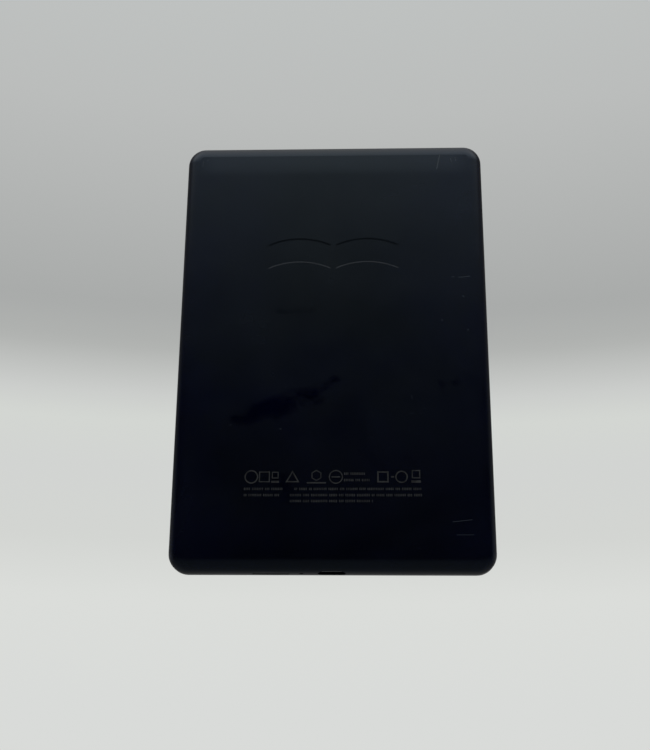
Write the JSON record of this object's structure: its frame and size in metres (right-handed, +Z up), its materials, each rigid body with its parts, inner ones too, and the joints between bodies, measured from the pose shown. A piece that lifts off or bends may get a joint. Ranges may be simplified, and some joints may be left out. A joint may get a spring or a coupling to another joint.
{
  "type": "e-reader",
  "caption": "Slim six-inch e-reader with a rolled-edge rear shell, framed matt screen, bottom charging socket, status light and a sprung power button.",
  "frame": {"origin": "middle of the bottom edge, at the centre of the body's width and thickness", "axes": "+Z up the height of the upright reader, +Y out of the back, -Y out of the screen, +X to the right when facing the screen"},
  "size_m": [0.1086, 0.008, 0.1578],
  "materials": {
    "cover_plastic": "matte",
    "bezel_plastic": "matte",
    "button_plastic": "satin",
    "glue": "matte",
    "foam": "matte",
    "chassis_metal": "satin",
    "screw_steel": "satin",
    "touch_film": "matte",
    "clear_plastic": "gloss",
    "ink_layer": "matte",
    "backplane_glass": "gloss",
    "chip_black": "satin",
    "ribbon_amber": "satin",
    "lamp_white": "gloss",
    "board_laminate": "satin",
    "socket_plastic": "satin",
    "shield_steel": "satin",
    "coil_core": "matte",
    "ceramic_part": "satin",
    "battery_foil": "satin",
    "lead_cover": "satin",
    "copper": "satin",
    "gold": "polished",
    "switch_plastic": "satin"
  },
  "bodies": {
    "reader": {"rear_cover": "cover_plastic", "front_bezel": "bezel_plastic", "bezel_adhesive": "glue", "display_gasket": "foam", "mid_frame": "chassis_metal", "chassis_screws": "screw_steel", "touch_sheet": "touch_film", "light_guide": "clear_plastic", "ink_film": "ink_layer", "display_glass": "backplane_glass", "driver_chip": "chip_black", "display_tape": "glue", "lamp_strip": "ribbon_amber", "lamps": "lamp_white", "display_ribbon": "ribbon_amber", "touch_ribbon": "ribbon_amber", "board_insulator": "glue", "main_board": "board_laminate", "board_screws": "screw_steel", "display_socket": "socket_plastic", "touch_socket": "socket_plastic", "lamp_socket": "socket_plastic", "processor_chip": "chip_black", "memory_chip": "chip_black", "storage_chip": "chip_black", "thermal_pad": "foam", "processor_shield": "shield_steel", "power_chip": "chip_black", "power_coils": "coil_core", "power_shield": "shield_steel", "radio_chip": "chip_black", "radio_shield": "shield_steel", "board_crystal": "shield_steel", "board_capacitors": "ceramic_part", "magnet_sensor": "chip_black", "battery_cell": "battery_foil", "battery_board": "board_laminate", "battery_tape": "glue", "battery_foam": "foam", "battery_lead": "lead_cover", "battery_plug": "socket_plastic", "battery_socket": "socket_plastic", "antenna_carrier": "socket_plastic", "antenna_foil": "copper", "antenna_plug": "gold", "antenna_cable": "lead_cover", "usb_shell": "shield_steel", "usb_tongue": "switch_plastic", "usb_contacts": "gold", "switch_body": "switch_plastic", "status_lamp": "lamp_white", "light_pipe": "clear_plastic"},
    "power_button": {"power_button": "button_plastic"},
    "switch_plunger": {"switch_plunger": "switch_plastic"}
  },
  "joints": [
    {"name": "button_press", "type": "slide", "parent": "reader", "child": "power_button", "axis": [0, 0, 1], "range_m": [0, 0.00035], "stiffness_N_per_m": 4500, "springref_m": -0.0001},
    {"name": "plunger_press", "type": "slide", "parent": "reader", "child": "switch_plunger", "axis": [0, 0, 1], "range_m": [0, 0.00035]}
  ],
  "couplings": [
    {"joint": "plunger_press", "follows": "button_press", "ratio": 1}
  ]
}
